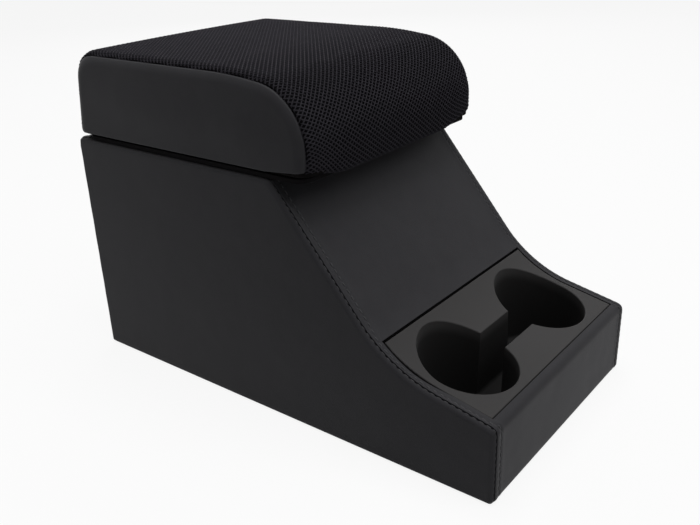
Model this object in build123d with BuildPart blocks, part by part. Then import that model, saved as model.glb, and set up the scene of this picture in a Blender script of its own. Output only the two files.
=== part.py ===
"""Car centre armrest: a trimmed storage box with a twin cup holder at its front and a padded hinged lid.

+Z is up, the cup end faces -Y, and the origin is the centre of the base.
"""

import os
from math import cos, radians, sin, tan

from build123d import *

os.makedirs("parts", exist_ok=True)

# Box, measured over its trim (mm, degrees)
width = 250.0
length = 458.0
rim_height = 224.0
front_height = 68.0
deck_angle = 11.7
slope_angle = 50.3
knee_reach = 208.7  # front face to the corner where the slope meets the rim
blend_radius = 123.0  # hollow between the deck and the slope
knee_radius = 8.0
front_radius = 6.0
rear_radius = 6.0
edge_radius = 5.0  # roll of the trim over the side's edges

# Box, what it is made of
trim_thickness = 2.6  # vinyl with its foam backing
trim_lift = 0.5  # trim's lower edge above the floor
seam_inset = 3.4  # side face to the seam with the centre trim
side_board = 12.0
slope_board_thickness = 9.0
rear_board_thickness = 12.0
floor_thickness = 9.0
lining_thickness = 2.5
lining_clearance = 0.5
carpet_thickness = 3.0

# Cup holder
front_rail = 9.5  # front face to the plate
plate_thickness = 3.0
plate_gap = 1.5  # round the plate
plate_round = 1.0
seat_ledge = 2.4  # how far the plate laps onto the boards
seat_clearance = 0.1
cup_radius = 41.3  # at the deck
cup_floor_radius = 37.9
cup_floor_height = 22.0
cup_wall = 3.0
well_clearance = 1.4  # wells to the front board
well_rear_clearance = 2.0  # wells to the slope board, where they flare past the deck's height
well_side_clearance = 1.5  # wells to the side boards
channel_width = 23.2
rim_round = 1.1
floor_round = 4.0

# Lid
lid_gap = 3.7  # rim to the lid's underside
lid_height = 78.5
lid_overhang = 41.2  # nose beyond the slope's top corner
lid_rear_inset = 0.5
nose_radius = 53.8
crest_angle = 6.4  # fall of the top towards the nose
crest_reach = 81.8  # nose to where the top turns level
crest_radius = 400.0
rear_lean = 8.0
lid_rear_radius = 28.0
lid_edge_radius = 13.0
lid_base_radius = 3.0
cover_thickness = 1.5
lid_seam_inset = 4.5  # lid's side face to the seam with the mesh
hem_width = 22.0
lid_board_thickness = 9.0
under_inset = 6.0
under_nose_inset = 9.0
under_corner = 12.0
under_rest_gap = 0.3

# Hinge
hinge_inset = 15.0  # each end, from the box's side
knuckles = 11
knuckle_gap = 0.4
knuckle_clearance = 0.25
leaf_thickness = 0.8
leaf_width = 12.0  # axis to the leaf's edge
pin_clearance = 0.05
screw_count = 5
screw_end = 22.0  # hinge end to the first screw
screw_radius = 1.2
screw_length = 9.0
screw_clearance = 0.05

# Floor fixings
bolt_radius = 3.5
bolt_spacing_x = 150.0
bolt_spacing_y = 170.0
bolt_rear_edge = 60.0  # rear face to the rear pair
washer_radius = 11.0

# Places that several pieces share
half_width = width / 2
front = -length / 2
rear = length / 2
knee_y = front + knee_reach
board_half = half_width - trim_thickness
inner_half = board_half - side_board
plate_half = inner_half + seat_ledge
plate_front = front + front_rail
front_board_back = plate_front + seat_ledge
cup_y = front_board_back + well_clearance + cup_wall + cup_radius
slope_foot = cup_y + cup_radius + cup_wall + well_rear_clearance
plate_back = slope_foot + seat_ledge
cup_x = inner_half - well_side_clearance - cup_wall - cup_radius
deck_at_cup = front_height + (cup_y - front) * tan(radians(deck_angle))
cup_taper = (cup_radius - cup_floor_radius) / (deck_at_cup - cup_floor_height)
knee_end = knee_y + slope_board_thickness / sin(radians(slope_angle))
rear_board_front = rear - trim_thickness - rear_board_thickness
rim_underside = rim_height - trim_thickness

lid_base = rim_height + lid_gap
lid_top = lid_base + lid_height
lid_nose = knee_y - lid_overhang
lid_rear = rear - lid_rear_inset
lid_board_top = lid_base + cover_thickness + lid_board_thickness

hinge_z = rim_height + lid_gap / 2
knuckle_radius = lid_gap / 2 - knuckle_clearance
hinge_y = rear - knuckle_radius - knuckle_clearance
pin_radius = knuckle_radius - leaf_thickness - pin_clearance
screw_head_radius = screw_radius + leaf_thickness  # head as deep as the leaf, flush with it
hinge_length = width - 2 * hinge_inset
knuckle_pitch = hinge_length / knuckles
knuckle_length = knuckle_pitch - knuckle_gap
leaf_start = knuckle_radius + knuckle_clearance  # leaf's plate, clear of the other leaf's knuckles
screw_y = hinge_y - (leaf_start + leaf_width) / 2
screw_pitch = (hinge_length - 2 * screw_end) / (screw_count - 1)
under_rear = hinge_y - leaf_width - plate_gap
bolt_y = rear - bolt_rear_edge - bolt_spacing_y / 2


def box_outline(inset):
    """Side view of the box, with every face but the base moved inwards by inset."""
    deck, slope = radians(deck_angle), radians(slope_angle)
    deck_z = front_height - inset / cos(deck)
    slope_z = rim_height - inset / cos(slope)
    top_z = rim_height - inset
    valley = (slope_z - knee_y * tan(slope) - deck_z + front * tan(deck)) / (tan(deck) - tan(slope))
    corners = {
        "base_front": (front + inset, 0),
        "front": (front + inset, deck_z + inset * tan(deck)),
        "valley": (valley, deck_z + (valley - front) * tan(deck)),
        "knee": (knee_y + (top_z - slope_z) / tan(slope), top_z),
        "rear": (rear - inset, top_z),
        "base_rear": (rear - inset, 0),
    }
    radii = {
        "front": front_radius - inset,
        "valley": blend_radius + inset,
        "knee": knee_radius - inset,
        "rear": rear_radius - inset,
    }
    return rounded_outline(corners, radii)


def lid_outline(inset):
    """Side view of the lid, with every face moved inwards by inset."""
    crest, lean = radians(crest_angle), radians(rear_lean)
    nose, top_z, base_z = lid_nose + inset, lid_top - inset, lid_base + inset
    level = lid_nose + crest_reach - inset * (1 - cos(crest)) / sin(crest)
    rear_top = lid_rear - (top_z - lid_base) * tan(lean) - inset / cos(lean)
    rear_base = lid_rear - inset * tan(lean) - inset / cos(lean)
    corners = {
        "base_nose": (nose, base_z),
        "nose": (nose, top_z - (level - nose) * tan(crest)),
        "crest": (level, top_z),
        "rear": (rear_top, top_z),
        "base_rear": (rear_base, base_z),
    }
    radii = {
        "nose": nose_radius - inset,
        "crest": crest_radius - inset,
        "rear": lid_rear_radius - inset,
    }
    return rounded_outline(corners, radii)


def rounded_outline(corners, radii):
    """Closed outline on the left face, with the named corners rounded where a radius is left."""
    with BuildSketch(Plane.YZ.offset(-half_width)) as outline:
        with BuildLine():
            Polyline(*corners.values(), close=True)
        make_face()
        for name, radius in radii.items():
            if radius > 0:
                fillet(outline.vertices().sort_by_distance(Vector(*corners[name]))[0], radius)
    return outline.sketch


def slab(x0, x1, y0, y1, z0, z1):
    """Box between two corners, for use inside a part."""
    with BuildPart() as block:
        with BuildSketch(Plane.XY.offset(z0)):
            with Locations(((x0 + x1) / 2, (y0 + y1) / 2)):
                Rectangle(x1 - x0, y1 - y0)
        extrude(amount=z1 - z0)
    return block.part


def box_block(inset):
    """The box's side view, moved inwards by inset, carried through its whole width."""
    with BuildPart() as block:
        add(box_outline(inset))
        extrude(amount=width, dir=(1, 0, 0))
    return block.part


def box_form(inset):
    """The box as one solid, moved inwards by inset, with its sides' edges rolled over."""
    with BuildPart() as form:
        add(box_block(inset))
        side = half_width - inset
        add(slab(-side, side, front, rear, 0, rim_height), mode=Mode.INTERSECT)
        ends = form.faces().filter_by(Axis.X).edges()
        fillet(ends - form.faces().sort_by(Axis.Z)[0].edges(), edge_radius - inset)
    return form.part


def lid_form(inset):
    """The lid as one solid cushion, moved inwards by inset."""
    with BuildPart() as form:
        add(lid_outline(inset))
        extrude(amount=width, dir=(1, 0, 0))
        side = half_width - inset
        add(slab(-side, side, lid_nose, lid_rear, lid_base, lid_top), mode=Mode.INTERSECT)
        ends = form.faces().filter_by(Axis.X).edges()
        fillet(ends - form.faces().sort_by(Axis.Z)[0].edges(), lid_edge_radius - inset)
        fillet(form.faces().sort_by(Axis.Z)[0].edges(), lid_base_radius - inset)
    return form.part


def save(piece, label):
    """Names a finished piece and writes it."""
    piece.label = label
    export_step(piece, f"parts/{label}.step")


above = lid_top + lid_height
carcass = box_form(trim_thickness)
with BuildPart() as skin:
    add(box_form(0))
    add(carcass, mode=Mode.SUBTRACT)
    add(slab(-half_width, half_width, front, rear, 0, trim_lift), mode=Mode.SUBTRACT)

# The cup plate's pocket: all that lies over the plate's seat inside its footprint
with BuildPart() as pocket:
    add(slab(-plate_half - plate_gap, plate_half + plate_gap,
             plate_front - plate_gap, plate_back + plate_gap, 0, rim_height))
    add(box_block(plate_thickness + seat_clearance), mode=Mode.SUBTRACT)

# Boards of the box
with BuildPart() as left_side_board:
    add(carcass)
    add(slab(-board_half, -inner_half, front, rear, 0, rim_height), mode=Mode.INTERSECT)
    add(pocket.part, mode=Mode.SUBTRACT)
save(left_side_board.part, "left_side_board")

with BuildPart() as right_side_board:
    add(left_side_board.part.mirror(Plane.YZ))
save(right_side_board.part, "right_side_board")

with BuildPart() as front_board:
    add(carcass)
    add(slab(-inner_half, inner_half, front, front_board_back, 0, rim_height), mode=Mode.INTERSECT)
    add(pocket.part, mode=Mode.SUBTRACT)
save(front_board.part, "front_board")

with BuildPart() as slope_board:
    add(carcass)
    add(box_block(trim_thickness + slope_board_thickness), mode=Mode.SUBTRACT)
    add(slab(-inner_half, inner_half, slope_foot, knee_end, floor_thickness, rim_height),
        mode=Mode.INTERSECT)
    add(pocket.part, mode=Mode.SUBTRACT)
save(slope_board.part, "slope_board")

with BuildPart() as floor_board:
    add(slab(-inner_half, inner_half, front_board_back, rear_board_front, 0, floor_thickness))
    with Locations((0, bolt_y, floor_thickness)):
        with GridLocations(bolt_spacing_x, bolt_spacing_y, 2, 2):
            Hole(bolt_radius)
save(floor_board.part, "floor_board")

with BuildPart() as rear_board:
    add(carcass)
    add(slab(-inner_half, inner_half, rear_board_front, rear, 0, rim_height), mode=Mode.INTERSECT)
    with Locations((0, screw_y, rim_underside)):
        with GridLocations(screw_pitch, 1, screw_count, 1):
            Hole(screw_radius + screw_clearance, depth=screw_length)
save(rear_board.part, "rear_board")

# Vinyl trim
with BuildPart() as left_cover:
    add(slab(-half_width, seam_inset - half_width, front, rear, 0, rim_height))
    add(slab(seam_inset - half_width, -inner_half, knee_end, rear_board_front, rim_height / 2, rim_height))

with BuildPart() as left_side_trim:
    add(skin.part)
    add(left_cover.part, mode=Mode.INTERSECT)
save(left_side_trim.part, "left_side_trim")

with BuildPart() as right_side_trim:
    add(left_side_trim.part.mirror(Plane.YZ))
save(right_side_trim.part, "right_side_trim")

seam_half = half_width - seam_inset
with BuildPart() as centre_trim:
    add(skin.part)
    add(slab(-seam_half, seam_half, front, knee_end, 0, rim_height), mode=Mode.INTERSECT)
    add(pocket.part, mode=Mode.SUBTRACT)
save(centre_trim.part, "centre_trim")

with BuildPart() as rear_trim:
    add(skin.part)
    add(slab(-seam_half, seam_half, rear_board_front, rear, 0, rim_height), mode=Mode.INTERSECT)
    with Locations((0, screw_y, rim_height)):
        with GridLocations(screw_pitch, 1, screw_count, 1):
            Hole(screw_radius + screw_clearance, depth=screw_length)
save(rear_trim.part, "rear_trim")

# Lining of the storage bin
lining_front = plate_back + plate_gap
lining_half = inner_half - lining_thickness
with BuildPart() as left_lining:
    add(box_block(trim_thickness + slope_board_thickness + lining_clearance))
    add(slab(-inner_half, -lining_half, lining_front, rear_board_front, floor_thickness, rim_height),
        mode=Mode.INTERSECT)
save(left_lining.part, "left_lining")

with BuildPart() as right_lining:
    add(left_lining.part.mirror(Plane.YZ))
save(right_lining.part, "right_lining")

lining_top = left_lining.part.bounding_box().max.Z
with BuildPart() as rear_lining:
    add(slab(-lining_half, lining_half, rear_board_front - lining_thickness, rear_board_front,
             floor_thickness, lining_top))
save(rear_lining.part, "rear_lining")

with BuildPart() as floor_carpet:
    add(slab(-lining_half, lining_half, lining_front, rear_board_front - lining_thickness,
             floor_thickness, floor_thickness + carpet_thickness))
    with Locations((0, bolt_y, floor_thickness + carpet_thickness)):
        with GridLocations(bolt_spacing_x, bolt_spacing_y, 2, 2):
            Hole(washer_radius)
save(floor_carpet.part, "floor_carpet")

# Cup holder: tapered wells and their channel hang from a plate that follows the deck
well_base = cup_floor_height - cup_wall
well_height = rim_height - cup_floor_height
well_flare = cup_taper * well_height
with BuildPart() as plate:
    add(box_block(0))
    add(box_block(plate_thickness), mode=Mode.SUBTRACT)
    add(slab(-plate_half, plate_half, plate_front, plate_back, cup_floor_height, rim_height),
        mode=Mode.INTERSECT)
    tops = plate.faces().filter_by(lambda face: face.normal_at().Z > 0).edges()
    bends = tops.filter_by(Axis.X).filter_by_position(Axis.Y, plate_front + plate_gap, plate_back - plate_gap)
    fillet(tops - bends, plate_round)

right_well = Location((cup_x, cup_y, cup_floor_height), (0, 0, 180))  # its seam too lies in the channel
left_well = Location((-cup_x, cup_y, cup_floor_height))
with BuildPart() as cup_holder:
    with Locations(left_well * Pos(Z=-cup_wall), right_well * Pos(Z=-cup_wall)):
        Cone(cup_floor_radius + cup_wall, cup_floor_radius + cup_wall + well_flare, well_height,
             align=(Align.CENTER, Align.CENTER, Align.MIN))
    with Locations((0, cup_y, well_base)):
        Box(2 * cup_x, channel_width + 2 * cup_wall, well_height,
            align=(Align.CENTER, Align.CENTER, Align.MIN))
    add(box_block(plate_thickness / 2), mode=Mode.INTERSECT)
    add(plate.part)
    with Locations(left_well, right_well):
        Cone(cup_floor_radius, cup_floor_radius + well_flare, well_height,
             align=(Align.CENTER, Align.CENTER, Align.MIN), mode=Mode.SUBTRACT)
    with Locations((0, cup_y, cup_floor_height)):
        Box(2 * cup_x, channel_width, well_height,
            align=(Align.CENTER, Align.CENTER, Align.MIN), mode=Mode.SUBTRACT)
    fillet(cup_holder.edges().filter_by_position(Axis.Z, cup_floor_height, cup_floor_height), floor_round)
    upward = cup_holder.faces().filter_by(lambda face: face.normal_at().Z > 0)
    deck = upward.filter_by(lambda face: face.center().Z > front_height)
    walls = cup_holder.faces().filter_by(lambda face: face.center().Z < front_height)
    brinks = walls.edges()
    fillet(deck.edges().filter_by(lambda edge: edge in brinks), rim_round)
save(cup_holder.part, "cup_holder")

# Lid: board and foam inside a cover of mesh and two vinyl sides
core = lid_form(cover_thickness)
with BuildPart() as lid_board:
    add(core)
    split(bisect_by=Plane.XY.offset(lid_board_top), keep=Keep.BOTTOM)
    with Locations(Plane((0, screw_y, lid_base), z_dir=(0, 0, -1))):
        with GridLocations(screw_pitch, 1, screw_count, 1):
            Hole(screw_radius + screw_clearance, depth=screw_length)
save(lid_board.part, "lid_board")

with BuildPart() as lid_foam:
    add(core)
    split(bisect_by=Plane.XY.offset(lid_board_top), keep=Keep.TOP)
save(lid_foam.part, "lid_foam")

with BuildPart() as lid_cover:
    add(lid_form(0))
    add(core, mode=Mode.SUBTRACT)
    add(slab(hem_width - half_width, half_width - hem_width, lid_nose + hem_width, lid_rear - hem_width,
             rim_height, lid_board_top - lid_board_thickness / 2), mode=Mode.SUBTRACT)

lid_seam = half_width - lid_seam_inset
with BuildPart() as lid_mesh:
    add(lid_cover.part)
    add(slab(-lid_seam, lid_seam, lid_nose, lid_rear, rim_height, above), mode=Mode.INTERSECT)
    with Locations(Plane((0, screw_y, lid_base), z_dir=(0, 0, -1))):
        with GridLocations(screw_pitch, 1, screw_count, 1):
            Hole(screw_radius + screw_clearance, depth=screw_length)
save(lid_mesh.part, "lid_mesh")

with BuildPart() as lid_left_trim:
    add(lid_cover.part)
    add(slab(-half_width, -lid_seam, lid_nose, lid_rear, rim_height, above), mode=Mode.INTERSECT)
save(lid_left_trim.part, "lid_left_trim")

with BuildPart() as lid_right_trim:
    add(lid_left_trim.part.mirror(Plane.YZ))
save(lid_right_trim.part, "lid_right_trim")

under_nose = lid_nose + under_nose_inset
with BuildPart() as lid_under_panel:
    with BuildSketch(Plane.XY.offset(rim_height + under_rest_gap)):
        with Locations((0, (under_nose + under_rear) / 2)):
            RectangleRounded(width - 2 * under_inset, under_rear - under_nose, under_corner)
    extrude(amount=lid_gap - under_rest_gap)
save(lid_under_panel.part, "lid_under_panel")

# Piano hinge in the gap at the rear
body_knuckles = (knuckles + 1) // 2
lid_knuckles = knuckles // 2
with BuildPart() as hinge_body_leaf:
    add(slab(-hinge_length / 2, hinge_length / 2, hinge_y - leaf_width, hinge_y - leaf_start,
             rim_height, rim_height + leaf_thickness))
    with GridLocations(2 * knuckle_pitch, 1, body_knuckles, 1):
        add(slab(-knuckle_length / 2, knuckle_length / 2, hinge_y - leaf_start, hinge_y,
                 rim_height, rim_height + leaf_thickness))
    with Locations((0, hinge_y, hinge_z)):
        with GridLocations(2 * knuckle_pitch, 1, body_knuckles, 1):
            Cylinder(knuckle_radius, knuckle_length, rotation=(0, 90, 0))
        Cylinder(pin_radius + pin_clearance, hinge_length, rotation=(0, 90, 0), mode=Mode.SUBTRACT)
    with Locations((0, screw_y, rim_height + leaf_thickness)):
        with GridLocations(screw_pitch, 1, screw_count, 1):
            CounterSinkHole(screw_radius + screw_clearance, screw_head_radius + screw_clearance,
                            counter_sink_angle=90)
save(hinge_body_leaf.part, "hinge_body_leaf")

with BuildPart() as hinge_lid_leaf:
    add(slab(-hinge_length / 2, hinge_length / 2, hinge_y - leaf_width, hinge_y - leaf_start,
             lid_base - leaf_thickness, lid_base))
    with GridLocations(2 * knuckle_pitch, 1, lid_knuckles, 1):
        add(slab(-knuckle_length / 2, knuckle_length / 2, hinge_y - leaf_start, hinge_y,
                 lid_base - leaf_thickness, lid_base))
    with Locations((0, hinge_y, hinge_z)):
        with GridLocations(2 * knuckle_pitch, 1, lid_knuckles, 1):
            Cylinder(knuckle_radius, knuckle_length, rotation=(0, 90, 0))
        Cylinder(pin_radius + pin_clearance, hinge_length, rotation=(0, 90, 0), mode=Mode.SUBTRACT)
    with Locations(Plane((0, screw_y, lid_base - leaf_thickness), z_dir=(0, 0, -1))):
        with GridLocations(screw_pitch, 1, screw_count, 1):
            CounterSinkHole(screw_radius + screw_clearance, screw_head_radius + screw_clearance,
                            counter_sink_angle=90)
save(hinge_lid_leaf.part, "hinge_lid_leaf")

with BuildPart() as hinge_pin:
    with Locations((0, hinge_y, hinge_z)):
        Cylinder(pin_radius, hinge_length, rotation=(0, 90, 0))
save(hinge_pin.part, "hinge_pin")

# One countersunk screw, its head's face at the origin and its point towards -Z
with BuildPart() as screw:
    with BuildSketch(Plane.XZ):
        with BuildLine():
            Polyline((0, 0), (screw_head_radius, 0), (screw_radius, -leaf_thickness),
                     (screw_radius, 2 * screw_radius - screw_length), (0, -screw_length), close=True)
        make_face()
    revolve(axis=Axis.Z)

with BuildPart() as hinge_body_screws:
    with Locations((0, screw_y, rim_height + leaf_thickness)):
        with GridLocations(screw_pitch, 1, screw_count, 1):
            add(screw.part)
save(hinge_body_screws.part, "hinge_body_screws")

with BuildPart() as hinge_lid_screws:
    with Locations(Plane((0, screw_y, lid_base - leaf_thickness), z_dir=(0, 0, -1))):
        with GridLocations(screw_pitch, 1, screw_count, 1):
            add(screw.part)
save(hinge_lid_screws.part, "hinge_lid_screws")
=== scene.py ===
"""Looks of a car centre armrest: sewn vinyl over a box, a mesh-topped padded lid and a moulded cup holder.

Lengths are metres. The box's cup end faces -Y, its left side is -X and it stands on z = 0.
"""

import bmesh
import bpy
import numpy as np
from bpy.props import FloatProperty, FloatVectorProperty, PointerProperty
from mathutils import Matrix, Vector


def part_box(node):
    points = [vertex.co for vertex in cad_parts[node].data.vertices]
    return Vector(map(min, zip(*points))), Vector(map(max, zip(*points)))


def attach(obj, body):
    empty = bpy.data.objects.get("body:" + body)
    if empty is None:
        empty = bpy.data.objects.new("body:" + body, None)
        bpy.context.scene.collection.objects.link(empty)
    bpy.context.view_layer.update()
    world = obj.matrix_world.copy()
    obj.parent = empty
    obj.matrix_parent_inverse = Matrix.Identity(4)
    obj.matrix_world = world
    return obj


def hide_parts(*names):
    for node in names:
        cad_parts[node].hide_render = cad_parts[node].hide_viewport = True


bl_info = {
    "name": "Car Centre Armrest",
    "version": (1, 0, 0),
    "blender": (4, 5, 0),
    "location": "View3D > Sidebar > Armrest",
    "description": "Builds the trim, lid cover, stitching and finishes of a car centre armrest",
    "category": "Object",
}

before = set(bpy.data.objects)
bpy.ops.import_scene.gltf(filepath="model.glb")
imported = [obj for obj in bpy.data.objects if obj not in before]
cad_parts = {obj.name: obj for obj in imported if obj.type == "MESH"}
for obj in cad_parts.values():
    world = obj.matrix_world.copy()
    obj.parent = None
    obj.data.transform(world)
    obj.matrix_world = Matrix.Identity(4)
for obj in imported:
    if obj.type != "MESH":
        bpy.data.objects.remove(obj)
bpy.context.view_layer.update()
SIDE_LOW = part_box("left_side_trim")[0]
FRONT_LOW, FRONT_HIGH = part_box("centre_trim")
BACK_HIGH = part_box("rear_trim")[1]
LID_LOW, LID_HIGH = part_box("lid_mesh")
CUP_LOW, CUP_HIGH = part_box("cup_holder")
SLOPE_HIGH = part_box("slope_board")[1]
REAR_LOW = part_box("rear_board")[0]
PANEL_LOW, PANEL_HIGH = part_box("lid_under_panel")
GROOVE_WIDTH = 0.26  # half a seam's width for its depth
GROOVE_TURNS = np.array([0, 0.6, 0.95, 1.3])  # a groove's section from its bottom up, in half widths
GROOVE_DEPTHS = np.array([1, 0.85, 0.2, 0])  # and in depths
PUCKER = 0.00012  # rise and fall of the vinyl between stitches
DENT = 0.0004  # depth of the vinyl along its second row of stitches
SWELL = 0.0005  # rise of the vinyl between the seam and that row
LINE_STEP = 0.003  # spacing of points on the trim's and cover's side lines
TRIM_STEP = 0.002  # spacing of rows on the centre and rear trims
COVER_STEP = 0.0025  # spacing of rows on the mesh cover
ROLL_STEPS = 8  # rows from a panel's face to its seam's groove
SIDE_GRID = 30, 300  # steps up and along a side trim
LID_GRID = 28, 130  # steps up and along a lid side
FOOT = 0.22  # share of the lid's shoulder that is left at its base
UNDER = 0.01  # vinyl turned under the box's foot
BIN_BEND = 0.002  # radius at which vinyl turns down into the bin
MESH_THICKNESS = 0.0012
LID_VINYL_THICKNESS = 0.001
LID_SHARP = 70  # degrees at which the lid's shading breaks
TUCK_HEIGHT = 0.04  # above the lid's base, where its cover is no longer drawn in
TUCK_WIDTH = 0.055  # from the lid's sides, where the nose's corners end
TUCK_DEPTH = 0.045  # behind the nose, where its corners are no longer pulled up
SAG_DEPTH = 0.025  # behind the nose, where its lower edge no longer hangs


def length(words, default):
    """A length property in metres."""
    return FloatProperty(description=words, default=default, unit="LENGTH", precision=4)


def angle(words, degrees):
    """An angle property, given in degrees and kept in radians."""
    return FloatProperty(description=words, default=np.radians(degrees), subtype="ANGLE")


def colour(words, default):
    """A linear colour property."""
    return FloatVectorProperty(description=words, default=default, subtype="COLOR", min=0, max=1)


class ArmrestBox(bpy.types.PropertyGroup):
    """Sizes of the box's trim."""

    half_width: length("Middle to side face", -SIDE_LOW.x)
    front: length("Y of the front face", FRONT_LOW.y)
    rear: length("Y of the rear face", BACK_HIGH.y)
    rim: length("Height of the box's rim", FRONT_HIGH.z)
    lift: length("Trim's lower edge above the floor", FRONT_LOW.z)
    front_height: length("Height at which deck and front meet", 0.068)
    deck_angle: angle("Rise of the deck", 11.7)
    slope_angle: angle("Rise of the slope", 50.3)
    knee_reach: length("Front face to the slope's top corner", 0.2087)
    blend_radius: length("Hollow between deck and slope", 0.123)
    knee_radius: length("Rounding at the slope's top", 0.008)
    corner_radius: length("Rounding of the front and rear top edges", 0.006)
    roll: length("Radius of the vinyl over the side's edges", 0.005)
    foot_roll: length("Radius of the vinyl at the base", 0.005)
    seam_turn: angle("Where on the edge roll the seam lies", 71)
    groove: length("Depth of the seam", 0.0019)
    thickness: length("Thickness of the padded vinyl", 0.0022)
    hem: length("Vinyl turned down inside the bin", 0.009)
    proud: length("Hem's face in front of the boards", 0.0008)
    plate_gap: length("Gap round the cup holder's plate", 0.0015)


class ArmrestStitch(bpy.types.PropertyGroup):
    """Sizes of the stitching."""

    pitch: length("From stitch to stitch", 0.0062)
    run: length("Length of one stitch", 0.0046)
    thread: length("Radius of the thread", 0.00042)
    inset: length("Side face to the second row", 0.0100)
    deck_inset: length("Side face to the second row beside the plate", 0.0064)


class ArmrestLid(bpy.types.PropertyGroup):
    """Sizes of the lid's cover."""

    nose: length("Y of the lid's nose", LID_LOW.y)
    rear: length("Y of the lid's lower rear edge", LID_HIGH.y)
    base: length("Height of the lid's underside", LID_LOW.z)
    top: length("Height of the lid's top", LID_HIGH.z)
    nose_radius: length("Rounding of the nose", 0.0538)
    crest_angle: angle("Fall of the top towards the nose", 6.4)
    crest_reach: length("Nose to where the top turns level", 0.0818)
    crest_radius: length("Rounding where the top turns level", 0.4)
    rear_lean: angle("Lean of the rear face", 8)
    rear_radius: length("Rounding of the rear top edge", 0.028)
    shoulder: length("Rounding between top and side", 0.013)
    foot: length("Rounding at the underside", 0.0035)
    nose_foot: length("Rounding under the nose", 0.006)
    tuck: length("How far the nose's lower corners are pulled up", 0.0040)
    sag: length("How far the nose's lower edge hangs in its middle", 0.0045)
    seam_turn: angle("Where on the shoulder the seam lies", 49)
    groove: length("Depth of the seam", 0.0014)
    crown: length("Rise of the top at its middle", 0.0010)
    puff: length("Swell of the vinyl sides", 0.0022)
    hem: length("Cover turned under the board", 0.022)
    panel_inset: length("Side face to the felt panel underneath", 0.0016)
    panel_corner: length("Rounding of the felt panel's corners", 0.012)


class ArmrestFinish(bpy.types.PropertyGroup):
    """Colours, and the lattice and yarn of the mesh."""

    vinyl: colour("Trim of the box and the lid's sides", (0.0262, 0.0258, 0.0285))
    plastic: colour("Cup holder", (0.0350, 0.0338, 0.0340))
    thread: colour("Stitching", (0.050, 0.050, 0.053))
    yarn: colour("Mesh on the lid", (0.0260, 0.0245, 0.0295))
    felt: colour("Bin lining and lid underside", (0.0085, 0.0080, 0.0085))
    board: colour("Stained board", (0.0045, 0.0042, 0.0042))
    steel: colour("Hinge and screws", (0.22, 0.22, 0.225))
    lattice_x: length("Hole pitch across the lid", 0.0056)
    lattice_s: length("Hole pitch along the lid", 0.00403)
    lattice_turn: angle("How far the mesh is laid askew", 5)
    yarn_width: length("Half a yarn's width", 0.00062)
    yarn_height: length("Half a yarn's height", 0.00045)
    yarn_lift: length("Ground to the yarn's middle", 0.0003)
    yarn_weave: length("Rise and fall at the crossings", 0.00018)


class ArmrestStage(bpy.types.PropertyGroup):
    """Camera and floor."""

    camera_at: FloatVectorProperty(
        description="Place of the camera", default=(-0.5722, -0.4571, 0.4228), subtype="XYZ"
    )
    azimuth: angle("Camera's direction round the part", -51.461)
    elevation: angle("Camera's direction above the floor", 23.728)
    camera_roll: angle("Camera's turn about its view", -2.129)
    lens: FloatProperty(description="Focal length in millimetres", default=42.298)
    floor_size: length("Width of the floor", 12)


def sizes(*names):
    """The scene's property groups of the given names."""
    return [getattr(bpy.context.scene, "armrest_" + name) for name in names]


# Lines and surfaces


def unit(vectors):
    """Vectors at length 1."""
    return vectors / np.linalg.norm(vectors, axis=-1, keepdims=True)


def between(at, far, rows):
    """Rows of a table at given lengths, interpolated over the rows' own lengths."""
    return np.stack([np.interp(at, far, column) for column in rows.T], -1)


def rounded_path(corners, radii, spacing):
    """Line in the side view through the corners, each inner corner turned by a tangent arc of its radius.

    Runs and arcs are cut into steps of about the spacing. The normal is the step's direction turned left,
    averaged over the two steps that meet at a point. Gives points, normals and length along the line.
    """
    corners = np.array(corners, float)
    parts = [corners[:1]]
    for before, here, after, radius in zip(corners, corners[1:], corners[2:], radii):
        to_before, to_after = unit(before - here), unit(after - here)
        half = np.arccos(np.clip(to_before @ to_after, -1, 1)) / 2
        centre = here + unit(to_before + to_after) * radius / np.sin(half)
        start = here + to_before * radius / np.tan(half) - centre
        end = here + to_after * radius / np.tan(half) - centre
        turn = np.pi - 2 * half
        count = max(7, int(np.ceil(radius * turn / spacing)) + 1)
        share = np.linspace(0, 1, count)[:, None]
        arc = (np.sin((1 - share) * turn) * start + np.sin(share * turn) * end) / np.sin(turn)
        parts.append(centre + arc)
    parts.append(corners[-1:])
    runs = []
    for part, following in zip(parts, parts[1:]):
        gap = np.linalg.norm(following[0] - part[-1])
        count = max(1, int(np.ceil(gap / spacing)))
        share = np.linspace(0, 1, count + 1)[1:-1, None]
        runs += [part, part[-1] * (1 - share) + following[0] * share]
    points = np.vstack(runs + [parts[-1]])
    steps = np.diff(points, axis=0)
    size = np.linalg.norm(steps, axis=1, keepdims=True)
    lefts = np.stack([-steps[:, 1], steps[:, 0]], 1) / size
    normals = np.vstack([lefts[:1], lefts[:-1] + lefts[1:], lefts[-1:]])
    return points, unit(normals), np.r_[0, np.cumsum(size)]


def along(path, stations):
    """Points and unit normals of a path at given lengths along it."""
    points, normals, far = path
    return between(stations, far, points), unit(between(stations, far, normals))


def where_y(path, y, last=False):
    """Length along a path at which it first, or last, passes a given y."""
    points, _, far = path
    crossings = np.flatnonzero(np.diff(np.sign(points[:, 0] - y)))
    k = crossings[-1 if last else 0]
    share = (y - points[k, 0]) / (points[k + 1, 0] - points[k, 0])
    return far[k] + share * (far[k + 1] - far[k])


def nearest(path, spot):
    """Length along a path at which it passes closest to a spot."""
    points, _, far = path
    return far[np.argmin(np.linalg.norm(points - np.array(spot), axis=1))]


def carried(spots, ups, across, out):
    """Grid of a section carried along a path: across is x, out is the distance along the path's normal."""
    across, out = np.broadcast_arrays(across, out)
    y = spots[:, :1] + out * ups[:, :1]
    z = spots[:, 1:] + out * ups[:, 1:]
    return np.stack([np.broadcast_to(across, y.shape), y, z], -1)


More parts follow.
